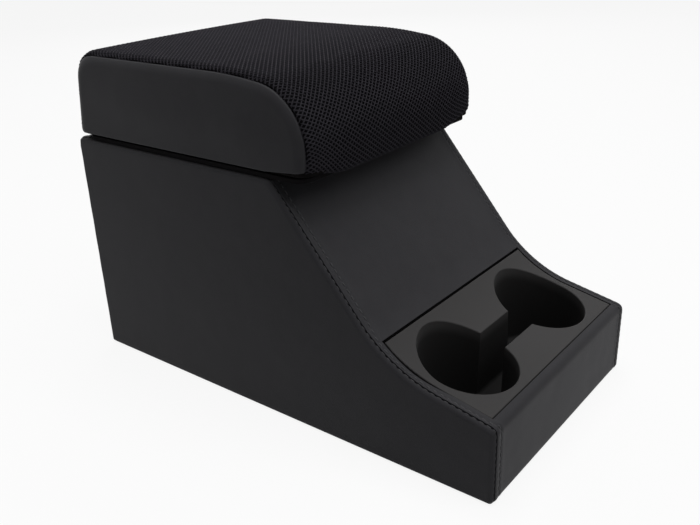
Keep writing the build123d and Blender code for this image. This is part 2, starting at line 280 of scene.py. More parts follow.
def panel_loop(path, turns, rise, span):
    """Closed loop round a side panel: up its front end, over its top, down its rear end and along its base.

    The path starts and ends in the middle of the base. The turns are the four lengths along it at which one
    side of the panel gives way to the next. Gives points, outward normals and lengths along the path.
    """
    front_foot, front_top, rear_top, rear_foot = turns
    whole = path[2][-1]
    stations = np.r_[
        np.linspace(front_foot, front_top, rise),
        np.linspace(front_top, rear_top, span)[1:-1],
        np.linspace(rear_top, rear_foot, rise),
        np.linspace(rear_foot, whole + front_foot, span)[1:-1],
    ]
    return *along(path, stations % whole), stations


def spanned(loop, rise, span):
    """Grid over a loop's inside.

    It is the blend of base and top, plus the blend of both ends, less the blend of the four corners.
    """
    left, top = loop[:rise], loop[rise - 1 : rise - 1 + span]
    right = loop[rise + span - 2 : 2 * rise + span - 2][::-1]
    base = np.vstack([loop[2 * rise + span - 3 :], loop[:1]])[::-1]
    u, v = np.linspace(0, 1, span)[:, None, None], np.linspace(0, 1, rise)[None, :, None]
    corners = (1 - v) * ((1 - u) * left[0] + u * right[0]) + v * ((1 - u) * left[-1] + u * right[-1])
    return (1 - v) * base[:, None] + v * top[:, None] + (1 - u) * left + u * right - corners


def rolled_panel(loop, inner, rise, span, half, side, roll, seam_turn, groove, swell, pitch):
    """Side panel as two patches: rows that roll over its edges into the seam, and the face inside them.

    A row lies on a circle of the roll's radius, from the face round to the seam's turn, and its last steps
    dip into the groove. In the panel's plane a row runs from the inner line to the loop in the same shares.
    Turn and groove may change along the loop. Stitches pucker the roll, and the face swells in its middle.
    """
    points, _, stations = loop
    seam_turn, groove = [np.broadcast_to(value, len(points))[:, None] for value in (seam_turn, groove)]
    dip = GROOVE_WIDTH * groove / roll
    arc = np.linspace(0, 1, ROLL_STEPS) * (seam_turn - GROOVE_TURNS[3] * dip)
    turns = np.hstack([arc, seam_turn - dip * GROOVE_TURNS[2::-1]])
    reach = np.hstack([np.full(arc.shape, roll), roll - groove * GROOVE_DEPTHS[2::-1]])
    share = 1 - reach * np.sin(turns) / roll
    rows = points[:, None] + share[..., None] * (inner - points)[:, None]
    pull = np.cos(2 * np.pi * stations / pitch)[:, None] if pitch else 0
    pucker = PUCKER * pull * bell(turns, 0.7 * seam_turn, 0.4 * seam_turn)
    edge = np.dstack([side * (half - roll + reach * np.cos(turns) + pucker * (turns > 0)), rows])
    u, v = np.linspace(0, 1, span)[:, None], np.linspace(0, 1, rise)[None, :]
    ends = 0.25
    rise_out = swell * smooth(u, 0, ends) * smooth(1 - u, 0, ends) * np.sin(np.pi * v) ** 2
    face = np.dstack([side * (half + rise_out), spanned(rows[:, 0], rise, span)])
    return [{"grid": edge, "wrap": True, "flip": side < 0}, {"grid": face, "flip": side < 0}]


def groove_section(seam_turn, roll, groove, steps):
    """Section from a seam's bottom to the top of its roll: inwards from the side, and height below the top.

    It rises out of the groove on to the roll's circle and follows that in the given number of steps.
    """
    turns = seam_turn + GROOVE_WIDTH * groove / roll * GROOVE_TURNS
    turns = np.r_[turns, np.linspace(turns[-1], np.pi / 2, steps + 1)[1:]]
    reach = np.r_[roll - groove * GROOVE_DEPTHS, np.full(steps, roll)]
    return roll - reach * np.cos(turns), reach * np.sin(turns) - roll


def inset_corners(corners, insets):
    """Corners of a closed outline, passed clockwise, with each side moved inwards by its own distance."""
    corners, insets = np.array(corners), np.array(insets)[:, None]
    run = unit(np.roll(corners, -1, 0) - corners)
    moved = corners + insets * np.stack([run[:, 1], -run[:, 0]], -1)
    before, start = np.roll(run, 1, 0), np.roll(moved, 1, 0)
    shares = np.linalg.solve(np.stack([before, -run], -1), (moved - start)[..., None])[:, :1, 0]
    return start + shares * before


def smooth(value, low, high):
    """Rises from 0 at low to 1 at high with level ends."""
    share = np.clip((value - low) / (high - low), 0, 1)
    return share * share * (3 - 2 * share)


def bell(value, middle, reach):
    """A bump of height 1 at the middle that falls off over the reach."""
    return np.exp(-(((value - middle) / reach) ** 2))


def even(start, end, spacing):
    """Evenly spaced values from start to end, both included."""
    return np.linspace(start, end, max(2, int(np.ceil(abs(end - start) / spacing)) + 1))


def quads(rows, columns, first=0, wrap=False, flip=False, keep=None):
    """Corner indices of a grid's faces; wrap joins its last row to its first, keep drops faces."""
    index = np.arange(rows * columns).reshape(rows, columns) + first
    low = index if wrap else index[:-1]
    high = np.roll(index, -1, axis=0) if wrap else index[1:]
    faces = np.stack([low[:, :-1], high[:, :-1], high[:, 1:], low[:, 1:]], -1)
    faces = faces[keep] if keep is not None else faces.reshape(-1, 4)
    return faces[:, ::-1] if flip else faces


def mesh_object(name, points, faces):
    """Makes an object of the points that its faces use."""
    used, faces = np.unique(faces, return_inverse=True)
    mesh = bpy.data.meshes.new(name)
    mesh.from_pydata(points[used].tolist(), [], faces.reshape(-1, 4).tolist())
    mesh.shade_smooth()
    piece = bpy.data.objects.new(name, mesh)
    bpy.context.collection.objects.link(piece)
    return piece


def build_piece(name, patches, thickness=0.0, sharp=50):
    """Makes one object from grids, welds them, gives the sheet its thickness inwards and smooths its shading.

    A patch is a dictionary with grid, and if need be flip, wrap and keep.
    """
    points, faces = [], []
    first = 0
    for patch in patches:
        grid = patch["grid"]
        rows, columns = grid.shape[:2]
        points.append(grid.reshape(-1, 3))
        options = {key: patch[key] for key in ("wrap", "flip", "keep") if key in patch}
        faces.append(quads(rows, columns, first, **options))
        first += rows * columns
    piece = mesh_object(name, np.vstack(points), np.vstack(faces))
    mesh = piece.data
    work = bmesh.new()
    work.from_mesh(mesh)
    bmesh.ops.remove_doubles(work, verts=work.verts, dist=1e-6)
    work.to_mesh(mesh)
    work.free()
    if thickness:
        shell = piece.modifiers.new("Thickness", "SOLIDIFY")
        shell.thickness = thickness
        shell.offset = -1
        bpy.context.view_layer.update()
        solid = bpy.data.meshes.new_from_object(piece.evaluated_get(bpy.context.evaluated_depsgraph_get()))
        piece.modifiers.clear()
        piece.data = solid
        bpy.data.meshes.remove(mesh)
        solid.name = name
    piece.data.shade_smooth()
    piece.data.set_sharp_from_angle(angle=np.radians(sharp))
    return piece


def place(piece, finish, body, slot, *nodes):
    """Gives a piece its finish, puts it on its body and lets it stand for CAD nodes, which it hides; the slot
    is not used.
    """
    piece.data.materials.append(finish_of(finish))
    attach(piece, body)
    if nodes:
        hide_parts(*nodes)


# Finishes


def join(tree, slot, value):
    """Links a wire to a socket, or sets the socket to a value."""
    if isinstance(value, Wire):
        tree.links.new(value.socket, slot)
    else:
        slot.default_value = value


class Wire:
    """An output of a shader node; sums and products of wires and numbers add Math nodes."""

    def __init__(self, tree, socket):
        self.tree = tree
        self.socket = socket

    def math(self, operation, *others):
        node = self.tree.nodes.new("ShaderNodeMath")
        node.operation = operation
        for slot, value in zip(node.inputs, others):
            join(self.tree, slot, value)
        return Wire(self.tree, node.outputs[0])

    def __add__(self, other):
        return self.math("ADD", self, other)

    def __sub__(self, other):
        return self.math("SUBTRACT", self, other)

    def __mul__(self, other):
        return self.math("MULTIPLY", self, other)

    def __radd__(self, other):
        return self.math("ADD", other, self)

    def least(self, other):
        return self.math("MINIMUM", self, other)

    def most(self, other):
        return self.math("MAXIMUM", self, other)


class Finish:
    """A material with one Principled shader, whose constants are set on the shader's own sockets."""

    def __init__(self, name, **constants):
        self.material = bpy.data.materials.new(name)
        self.material.use_nodes = True
        self.tree = self.material.node_tree
        self.shader = next(n for n in self.tree.nodes if n.type == "BSDF_PRINCIPLED")
        for socket, value in constants.items():
            self.shader.inputs[socket.replace("_", " ")].default_value = value

    def node(self, kind, output, settings=None, **sockets):
        """Adds a node with its settings and a value or a wire for each named socket, and gives an output."""
        node = self.tree.nodes.new(kind)
        for key, value in (settings or {}).items():
            setattr(node, key, value)
        for name, value in sockets.items():
            join(self.tree, self.named(node.inputs, name.replace("_", " ")), value)
        return Wire(self.tree, self.named(node.outputs, output))

    def named(self, sockets, name):
        """The socket of that name that is in use."""
        return next(socket for socket in sockets if socket.name == name and socket.enabled)

    def places(self):
        """Object coordinates."""
        return self.node("ShaderNodeTexCoord", "Object")

    def noise(self, scale, detail=3.0, roughness=0.55, vector=None):
        """Soft noise from 0 to 1, with the scale in lumps per metre."""
        sockets = {"Scale": scale, "Detail": detail, "Roughness": roughness}
        return self.node("ShaderNodeTexNoise", "Fac", Vector=vector or self.places(), **sockets)

    def cells(self, scale):
        """Distance inside cells, with the scale in cells per metre."""
        return self.node("ShaderNodeTexVoronoi", "Distance", Vector=self.places(), Scale=scale)

    def step(self, value, low, high):
        """Rises from 0 at low to 1 at high with level ends."""
        settings = {"interpolation_type": "SMOOTHSTEP"}
        return self.node("ShaderNodeMapRange", "Result", settings, Value=value, From_Min=low, From_Max=high)

    def mix(self, share, first, second):
        """Colour between two colours."""
        first, second = [c if isinstance(c, Wire) else (*c, 1) for c in (first, second)]
        return self.node("ShaderNodeMix", "Result", {"data_type": "RGBA"}, Factor=share, A=first, B=second)

    def bump(self, height, depth, strength=1.0, below=None):
        """Normal of a height map whose full range is the depth in metres."""
        sockets = {"Height": height, "Distance": depth, "Strength": strength}
        if below:
            sockets["Normal"] = below
        return self.node("ShaderNodeBump", "Normal", **sockets)

    def coat(self, rgb, tone, shades, rough, normal, **wires):
        """Feeds the shader a colour that the tone picks between two shades, and its roughness and normal."""
        dark, light = [shade(rgb, factor) for factor in shades]
        return self.feed(Base_Color=self.mix(tone, dark, light), Roughness=rough, Normal=normal, **wires)

    def feed(self, **wires):
        """Links wires to the shader's sockets."""
        for socket, wire in wires.items():
            self.tree.links.new(wire.socket, self.shader.inputs[socket.replace("_", " ")])
        return self.material


def shade(rgb, factor):
    """A colour made lighter or darker."""
    return tuple(min(1.0, channel * factor) for channel in rgb)


def vinyl_finish(rgb):
    """Grained satin vinyl: fine cells over slow waves, a little lighter on the grain's tops."""
    finish = Finish("satin_vinyl", IOR=1.46, Specular_IOR_Level=0.1)
    grain = finish.cells(1150) * 0.65 + finish.noise(2600, 2) * 0.35
    waves = finish.noise(14, 2)
    blotch = finish.noise(60, 4)
    tone = finish.step(blotch * 0.7 + grain * 0.3, 0.2, 0.8)
    rough = 0.50 + blotch * 0.10 - grain * 0.06
    slow = finish.bump(waves, 0.004, 0.35)
    return finish.coat(rgb, tone, (0.90, 1.10), rough, finish.bump(grain, 0.00022, 0.55, slow))


def plastic_finish(rgb):
    """Satin moulding with a fine spark-eroded texture, duller inside the wells, with shade painted darker
    into their colour.

    A place is inside a well when it lies under the deck. That is a plane with this level at y = 0 and this
    slope, and behind the bend it rises with the square of the distance times the curve.
    """
    box = bpy.context.scene.armrest_box
    slope = np.tan(box.deck_angle)
    level = box.front_height - box.front * slope
    half_turn = (box.slope_angle - box.deck_angle) / 2
    bend = box_line(box)[0][2][0] - box.blend_radius * np.tan(half_turn) * np.cos(box.deck_angle)
    curve = 0.5 / (box.blend_radius * np.cos(box.deck_angle) ** 3)
    finish = Finish("moulded_plastic", IOR=1.48, Specular_IOR_Level=0.12)
    pits = finish.noise(3200, 2, 0.6)
    blotch = finish.noise(45, 4)
    y, z = [finish.node("ShaderNodeSeparateXYZ", axis, Vector=finish.places()) for axis in "YZ"]
    behind = (y - bend).most(0.0)
    depth = level + y * slope + behind * behind * curve - z
    # painted shade: this mask darkens the colour inside the wells, and also makes them duller
    well_shade_and_dullness = finish.step(depth, 0.001, 0.012)
    tone = finish.mix(blotch, shade(rgb, 0.93), shade(rgb, 1.07))
    return finish.feed(
        # painted shade: inside the wells the colour falls to 28 % of the plastic's
        Base_Color=finish.mix(well_shade_and_dullness, tone, shade(rgb, 0.28)),
        Roughness=0.46 + blotch * 0.08 + pits * 0.06 + well_shade_and_dullness * 0.15,
        Normal=finish.bump(pits, 0.0001, 0.5),
    )


def yarn_finish(rgb):
    """Matt yarn with fine fibres and a slow change of tone."""
    finish = Finish("spacer_mesh", IOR=1.45, Specular_IOR_Level=0.06)
    fibres = finish.noise(2600, 2)
    tone = fibres * 0.6 + finish.noise(70, 2) * 0.4
    return finish.coat(rgb, tone, (0.6, 1.4), 0.72 + fibres * 0.16, finish.bump(fibres, 0.0003, 0.6))


def ground_shade_finish(rgb):
    """The mesh's ground seen through the net: the yarn's colour darkened as painted shade between the yarns.
    """
    finish = Finish("mesh_ground", Specular_IOR_Level=0.02)
    fibres = finish.noise(1800, 3)
    # painted shade: the ground takes the yarn's colour at 6 to 22 %
    return finish.coat(rgb, fibres, (0.06, 0.22), 0.9 + fibres * 0.08, finish.bump(fibres, 0.0003, 0.6))


def thread_finish(rgb):
    """Twisted thread."""
    finish = Finish("sewing_thread", Specular_IOR_Level=0.3)
    twist = finish.noise(5200, 2)
    return finish.coat(rgb, twist, (0.7, 1.3), 0.55 + twist * 0.2, finish.bump(twist, 0.0001, 0.6))


def felt_finish(rgb):
    """Needled felt with short fibres in clumps."""
    finish = Finish("needled_felt", Specular_IOR_Level=0.02)
    fibres = finish.noise(1500, 5, 0.7)
    clumps = finish.noise(120, 3)
    tone = fibres * 0.6 + clumps * 0.4
    return finish.coat(rgb, tone, (0.55, 1.6), 0.9 + clumps * 0.08, finish.bump(fibres, 0.0006, 0.8))


def board_finish(rgb):
    """Black stained board: flakes pressed flat, with a few lighter ones."""
    finish = Finish("stained_board", Specular_IOR_Level=0.02)
    fine = finish.noise(900, 4)
    tone = finish.step(finish.cells(420) * 0.5 + fine * 0.5, 0.25, 0.75)
    return finish.coat(rgb, tone, (0.6, 1.5), 0.62 + fine * 0.2, finish.bump(fine, 0.0002, 0.5))


def steel_finish(rgb):
    """Dark plated steel with lines drawn along X."""
    finish = Finish("plated_steel")
    lines = finish.node("ShaderNodeMapping", "Vector", Vector=finish.places(), Scale=(0.02, 1, 1))
    drawn = finish.noise(3000, 3, 0.6, lines)
    normal = finish.bump(drawn, 0.00005, 0.4)
    return finish.coat(rgb, drawn, (0.8, 1.15), 0.32 + drawn * 0.16, normal, Metallic=0.92 + drawn * 0.08)


FINISHES = {
    "satin_vinyl": (vinyl_finish, "vinyl"),
    "moulded_plastic": (plastic_finish, "plastic"),
    "spacer_mesh": (yarn_finish, "yarn"),
    "mesh_ground": (ground_shade_finish, "yarn"),
    "sewing_thread": (thread_finish, "thread"),
    "needled_felt": (felt_finish, "felt"),
    "stained_board": (board_finish, "board"),
    "plated_steel": (steel_finish, "steel"),
}


def finish_of(name):
    """The named finish, made once in its own colour."""
    make, tint = FINISHES[name]
    return bpy.data.materials.get(name) or make(getattr(bpy.context.scene.armrest_finish, tint))


def dress(finish, *nodes):
    """Gives CAD nodes a finish."""
    for name in nodes:
        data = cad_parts[name].data
        data.materials.clear()
        data.materials.append(finish_of(finish))


# Lines and surfaces of the box


def box_line(box):
    """Side line of the box from its front foot over deck, slope and rim to its rear foot."""
    deck, slope = np.tan(box.deck_angle), np.tan(box.slope_angle)
    knee = box.front + box.knee_reach
    valley = (box.rim - knee * slope - box.front_height + box.front * deck) / (deck - slope)
    corners = [
        (box.front, box.lift),
        (box.front, box.front_height),
        (valley, box.front_height + (valley - box.front) * deck),
        (knee, box.rim),
        (box.rear, box.rim),
        (box.rear, box.lift),
    ]
    return corners, [box.corner_radius, box.blend_radius, box.knee_radius, box.corner_radius]


def centre_line(box):
    """Line of the centre trim: turned under the foot, up the front, over deck and slope, and into the bin."""
    corners, radii = box_line(box)
    back = SLOPE_HIGH.y + box.proud
    line = [(box.front + UNDER, box.lift), *corners[:4], (back, box.rim), (back, box.rim - box.hem)]
    return rounded_path(line, [box.foot_roll, *radii[:3], BIN_BEND], LINE_STEP)


def rear_line(box):
    """Line of the rear trim: up out of the bin, over the rear rim, down the back and under the foot."""
    inside = REAR_LOW.y - box.proud
    line = [(inside, box.rim - box.hem), (inside, box.rim), (box.rear, box.rim), (box.rear, box.lift)]
    line.append((box.rear - UNDER, box.lift))
    return rounded_path(line, [BIN_BEND, box.corner_radius, box.foot_roll], LINE_STEP)


def seam_section(box, half):
    """Section of a panel between the two seams, as x and distance out, without its stitching.

    From each seam's bottom it rises on to the edge roll and runs flat across. It is cut finely as far as the
    second stitch row, less so up to the coarse middle, and once at the half width that is given.
    """
    fine, coarse = 0.0145, 0.03
    inset, out = groove_section(box.seam_turn, box.roll, box.groove, 4)
    flat = np.r_[even(box.roll, fine, 0.0005)[1:], even(fine, coarse, 0.0025)[1:]]
    flat = np.unique(np.r_[flat, box.half_width - half])
    middle = even(-box.half_width + coarse, box.half_width - coarse, 0.006)[1:-1]
    left = np.r_[inset, flat]
    x = np.r_[left - box.half_width, middle, (box.half_width - left)[::-1]]
    out = np.r_[out, np.zeros(len(flat))]
    return x, np.r_[out, np.zeros(len(middle)), out[::-1]]


def stitch_inset(stitch, path, stations):
    """Distance of the second stitch row from the side: nearer the edge beside the cup plate."""
    start = where_y(path, CUP_LOW.y, True)
    end = where_y(path, CUP_HIGH.y)
    beside = smooth(stations, start - 0.012, start) * (1 - smooth(stations, end, end + 0.02))
    return stitch.inset + (stitch.deck_inset - stitch.inset) * beside


def sewn(box, stitch, stations, row, x):
    """Height that sewing adds: a dent along the second row, swells beside it and puckers at stitches."""
    row, edge = row[:, None], box.half_width - np.abs(x)[None, :]
    pull = np.cos(2 * np.pi * stations / stitch.pitch)[:, None]
    seam = box.roll * (1 - np.cos(box.seam_turn))
    dent = -DENT * bell(edge, row, 0.0009)
    swell = SWELL * bell(edge, 0.5 * (seam + row), 0.3 * row) + 0.4 * SWELL * bell(edge, row + 0.003, 0.002)
    pucker = PUCKER * pull * (bell(edge, row, 0.0022) + bell(edge, seam + 0.0015, 0.0015))
    return dent + swell + pucker


def plate_clearance(y, x):
    """Vinyl's edge to the cup plate: even on the right, and on the left opening from the front backwards."""
    start, widest, end = -0.192, -0.150, -0.120
    gape = 0.0028 * smooth(y, start, widest) - 0.0011 * smooth(y, widest, end)
    return np.where(x < 0, 0.0004 + gape, 0.0009)


def face_middles(stations, x):
    """Middles of a trim grid's faces: lengths along it, and distances from the box's middle."""
    return ((stations[:-1] + stations[1:]) / 2)[:, None], np.abs(x[:-1] + x[1:]) / 2


# Lines and surfaces of the lid


def lid_corners(lid):
    """Corners and radii of the lid's side line, from its hem under the nose over the top to its rear hem."""
    level = lid.nose + lid.crest_reach
    nose_z = lid.top - lid.crest_reach * np.tan(lid.crest_angle)
    rear_top = lid.rear - (lid.top - lid.base) * np.tan(lid.rear_lean)
    corners = [
        (lid.nose + lid.hem, lid.base),
        (lid.nose, lid.base),
        (lid.nose, nose_z),
        (level, lid.top),
        (rear_top, lid.top),
        (lid.rear, lid.base),
        (lid.rear - lid.hem, lid.base),
    ]
    return corners, [lid.nose_foot, lid.nose_radius, lid.crest_radius, lid.rear_radius, lid.foot]


def tucked(lid, half, points):
    """Draws the cover on to the board: the nose's foot hangs lower in its middle, its corners are pulled up.

    The shift is whole at the base and dies away upwards and behind the nose.
    """
    x, y, z = np.moveaxis(points, -1, 0)
    low = 1 - smooth(z, lid.base, lid.base + TUCK_HEIGHT)
    corner = smooth(np.abs(x), half - TUCK_WIDTH, half - 0.005)
    pulled = lid.tuck * corner * np.clip((lid.nose + TUCK_DEPTH - y) / 0.042, 0, 1)
    hung = lid.sag * (1 - corner) * smooth(lid.nose + SAG_DEPTH - y, 0, 0.02)
    return np.stack([x, y, z + low * (pulled - hung)], -1)


def cover_section(lid, half):
    """Section of the mesh cover from seam to seam: length across, x and height.

    It leaves the seam's groove, follows the shoulder's circle to the top and runs flat across.
    """
    inset, height = groove_section(lid.seam_turn, lid.shoulder, lid.groove, 8)
    left = inset - half
    middle = even(left[-1], -left[-1], 0.004)[1:-1]
    x = np.r_[left, middle, -left[::-1]]
    height = np.r_[height, np.zeros(len(middle)), height[::-1]]
    return np.r_[0, np.cumsum(np.hypot(np.diff(x), np.diff(height)))], x, height


def lid_loops(lid):
    """Two loops round a lid side, point by point: its outline, and that moved in by the shoulder.

    At the base it moves in by only a small share of the shoulder.
    """
    corners, radii = lid_corners(lid)
    outline = corners[1:-1]
    inner = inset_corners(outline, [lid.shoulder] * 4 + [FOOT * lid.shoulder])
    inner_radii = np.maximum(np.array(radii) - lid.shoulder, 0.004)
    loops = []
    for line, turns in ((outline, radii), (inner, inner_radii)):
        middle = (np.array(line[0]) + np.array(line[-1])) / 2
        path = rounded_path([middle, *line, middle], turns, 0.0025)
        nose = where_y(path, line[0][0] + 0.3 * turns[1], True)
        rear = where_y(path, line[3][0] - 0.2 * turns[3])
        ends = [nearest(path, line[0]), nose, rear, nearest(path, line[-1])]
        loops.append(panel_loop(path, ends, *LID_GRID))
    return loops


def lid_cover(lid, half):
    """The mesh cover: its side line, its section, and at each point of the line the way down the shoulder.

    That way is the step from the lid side's outline to its inner line, for a unit of the shoulder.
    """
    corners, radii = lid_corners(lid)
    path = rounded_path(corners, radii, LINE_STEP)
    (points, _, stations), (inner, _, _) = lid_loops(lid)
    whole = 2 * stations[-1] - stations[-2] - stations[0]
    start = (corners[1][0] + corners[-2][0]) / 2 - corners[0][0]
    down = (inner - points).T / lid.shoulder
    way = np.stack([np.interp(path[2] + start, stations, column, period=whole) for column in down], -1)
    return path, cover_section(lid, half), way


def cover_points(lid, half, cover, across, far):
    """Points of the mesh cover at lengths across from the left seam and far along the side line.

    A point is the line's point, plus a low crown along the line's normal, plus the section's fall along the
    way down the shoulder.
    """
    path, section, way = cover
    x, height = [np.interp(across, section[0], column).ravel() for column in section[1:]]
    far = np.ravel(far)
    spots, ups = along(path, far)
    crown = lid.crown * (1 - (x / half) ** 2) * smooth(spots[:, 1], lid.base, lid.base + 0.02)
    down = height[:, None] * between(far, path[2], way)
    points = np.column_stack([x, spots + crown[:, None] * ups - down])
    return tucked(lid, half, points).reshape(*np.shape(across), 3)


# Operators


class ARMREST_OT_side_trims(bpy.types.Operator):
    """Vinyl panels over the box's sides, rolled over their edges into the seams"""

    bl_idname = "armrest.side_trims"
    bl_label = "Side trims"

    def execute(self, context):
        box, stitch = sizes("box", "stitch")
        corners, radii = box_line(box)
        middle = ((box.front + box.rear) / 2, box.lift)
        path = rounded_path([middle, *corners, middle], [box.foot_roll, *radii, box.foot_roll], 0.002)
        loop = panel_loop(path, [nearest(path, corners[k]) for k in (0, 1, 4, 5)], *SIDE_GRID)
        spots, normals, _ = loop
        y = spots[:, 0]
        fade, least_groove, swell = 0.006, 0.00005, 0.0003
        rim = (normals[:, 1] > 0.9) * smooth(y, SLOPE_HIGH.y - fade, SLOPE_HIGH.y)
        rim = rim * (1 - smooth(y, REAR_LOW.y, REAR_LOW.y + fade))
        turn = box.seam_turn + (np.pi / 2 - box.seam_turn) * rim
        groove = least_groove + box.groove * (1 - rim)
        foot_share, foot_height = 0.6, 0.012
        share = foot_share + (1 - foot_share) * smooth(spots[:, 1], box.lift, box.lift + foot_height)
        inner = spots - box.roll * share[:, None] * normals
        for side, name in ((-1, "left_side_trim"), (1, "right_side_trim")):
            roll = box.half_width, side, box.roll, turn, groove, swell, stitch.pitch
            patches = rolled_panel(loop, inner, *SIDE_GRID, *roll)
            piece = build_piece(name + "_vinyl", patches + [self.rim(box, side)], box.thickness)
            place(piece, "satin_vinyl", "box", "vinyl", name)
        return {"FINISHED"}

    def rim(self, box, side):
        """The strip over the side board's top edge, from the edge roll across and down into the bin."""
        inner = SLOPE_HIGH.x - box.proud
        bend, radius = np.linspace(0, np.pi / 2, 5), 0.0015
        x = np.r_[box.half_width - box.roll, inner + radius * (1 - np.sin(bend)), inner]
        z = np.r_[box.rim, box.rim - radius * (1 - np.cos(bend)), box.rim - box.hem]
        y = even(SLOPE_HIGH.y, REAR_LOW.y, 0.006)[:, None]
        grid = np.stack(np.broadcast_arrays(side * x, y, z), -1)
        return {"grid": grid, "flip": side < 0}


class ARMREST_OT_centre_trim(bpy.types.Operator):
    """Vinyl over the front, round the cup plate, up the slope and into the bin"""

    bl_idname = "armrest.centre_trim"
    bl_label = "Centre trim"

    def execute(self, context):
        box, stitch = sizes("box", "stitch")
        path = centre_line(box)
        gap = box.plate_gap
        ends = 0.6 * gap
        hole = [where_y(path, CUP_LOW.y - ends, True), where_y(path, CUP_HIGH.y + ends)]
        stations = np.unique(np.r_[even(0, path[2][-1], TRIM_STEP), hole])
        spots, ups = along(path, stations)
        half = CUP_HIGH.x + gap
        x, out = seam_section(box, half)
        row = stitch_inset(stitch, path, stations)
        across = self.drawn(box, x, spots[:, :1], stations[:, None], hole, half)
        grid = carried(spots, ups, across, out + sewn(box, stitch, stations, row, x))
        middle_s, middle_x = face_middles(stations, x)
        in_hole = (middle_s > hole[0]) & (middle_s < hole[1]) & (middle_x < half)
        in_wall = (middle_s > path[2][-1] - box.hem) & (middle_x > SLOPE_HIGH.x - 0.001)
        patch = {"grid": grid, "flip": True, "keep": ~(in_hole | in_wall)}
        piece = build_piece("centre_trim_vinyl", [patch], box.thickness)
        place(piece, "satin_vinyl", "box", "vinyl", "centre_trim")
        return {"FINISHED"}

    def drawn(self, box, x, y, stations, hole, half):
        """Columns beside the plate, shifted so that the vinyl's edge keeps its clearance from the plate.

        The shift is whole at the edge, nothing at the seam, and dies away beyond the plate's ends.
        """
        fade = 0.01
        near = smooth(stations, hole[0] - fade, hole[0]) * (1 - smooth(stations, hole[1], hole[1] + fade))
        shift = (plate_clearance(y, x) - box.plate_gap) * near
        seam = box.half_width - box.roll
        share = np.clip((seam - np.abs(x)) / (seam - half), 0, 1) * (np.abs(x) > half - 0.0001)
        return x + np.sign(x) * shift * share


class ARMREST_OT_rear_trim(bpy.types.Operator):
    """Vinyl over the rear rim and down the back"""

    bl_idname = "armrest.rear_trim"
    bl_label = "Rear trim"

    def execute(self, context):
        box, stitch = sizes("box", "stitch")
        path = rear_line(box)
        stations = even(0, path[2][-1], TRIM_STEP)
        spots, ups = along(path, stations)
        x, out = seam_section(box, SLOPE_HIGH.x)
        row = np.full(len(stations), stitch.inset)
        grid = carried(spots, ups, x, out + sewn(box, stitch, stations, row, x))
        middle_s, middle_x = face_middles(stations, x)
        in_wall = (middle_s < box.hem) & (middle_x > SLOPE_HIGH.x - 0.001)
        patch = {"grid": grid, "flip": True, "keep": ~in_wall}
        piece = build_piece("rear_trim_vinyl", [patch], box.thickness)
        place(piece, "satin_vinyl", "box", "vinyl", "rear_trim")
        return {"FINISHED"}


class ARMREST_OT_stitches(bpy.types.Operator):
    """Thread in the box's seams and in the second row beside them"""

    bl_idname = "armrest.stitches"
    bl_label = "Stitches"

    def execute(self, context):
        box, stitch = sizes("box", "stitch")
        front, rear = centre_line(box), rear_line(box)
        foot, rim = 0.016, box.hem + 0.012
        sunk, raised = 0.0012, 0.00002
        front_span = (foot, front[2][-1] - rim)
        rear_span = (rim, rear[2][-1] - foot)
        groups = []
        for path, (start, end) in ((front, front_span), (rear, rear_span)):
            middles = np.arange(start, end, stitch.pitch) + stitch.pitch / 2
            row = np.full(len(middles), stitch.inset)
            if path is front:
                row = stitch_inset(stitch, path, middles)
            reach = box.roll - sunk
            seam_in = np.full(len(middles), box.roll - reach * np.cos(box.seam_turn))
            seam_out = reach * np.sin(box.seam_turn) - box.roll
            for inset, out in ((row, raised), (seam_in, seam_out)):
                for side in (-1, 1):
                    groups.append(self.stitches(stitch, path, middles, side * (box.half_width - inset), out))
        points = np.concatenate(groups)
        rows, columns = points.shape[1:3]
        faces = quads(columns, rows, wrap=True, flip=True)[None]
        starts = np.arange(len(points))[:, None, None] * rows * columns
        flat = points.transpose(0, 2, 1, 3).reshape(-1, 3)
        piece = mesh_object("seam_stitches", flat, (faces + starts).reshape(-1, 4))
        place(piece, "sewing_thread", "box", "vinyl")
        return {"FINISHED"}

    def stitches(self, stitch, path, middles, x, out):
        """One row of stitches: tubes with tapered ends that bow up between their needle holes.

        A point is the stitch's place on the path, plus the bow and the ring's height along the normal, plus
        the ring's width across. Gives stitches by stations by ring points.
        """
        share, rise, dive = np.linspace(-1, 1, 9), 0.55, 1.9
        lengths = middles[:, None] + share * stitch.run / 2
        spots, ups = along(path, lengths.ravel())
        bow = stitch.thread * (rise - dive * np.abs(share) ** 4)
        width = stitch.thread * np.sqrt(np.clip(1 - np.abs(share) ** 6, 0.02, 1))
        ring = np.linspace(0, 2 * np.pi, 7)[:-1]
        height = out + bow[:, None] + width[:, None] * np.sin(ring)
        across = width[:, None] * np.cos(ring)
        count = (len(middles), len(share), 1)
        y = spots[:, 0].reshape(count) + height * ups[:, 0].reshape(count)
        z = spots[:, 1].reshape(count) + height * ups[:, 1].reshape(count)
        return np.stack([x[:, None, None] + np.broadcast_to(across, y.shape), y, z], -1)


class ARMREST_OT_cup_holder(bpy.types.Operator):
    """Satin finish of the moulded cup holder"""

    bl_idname = "armrest.cup_holder"
    bl_label = "Cup holder"

    def execute(self, context):
        dress("moulded_plastic", "cup_holder")
        return {"FINISHED"}


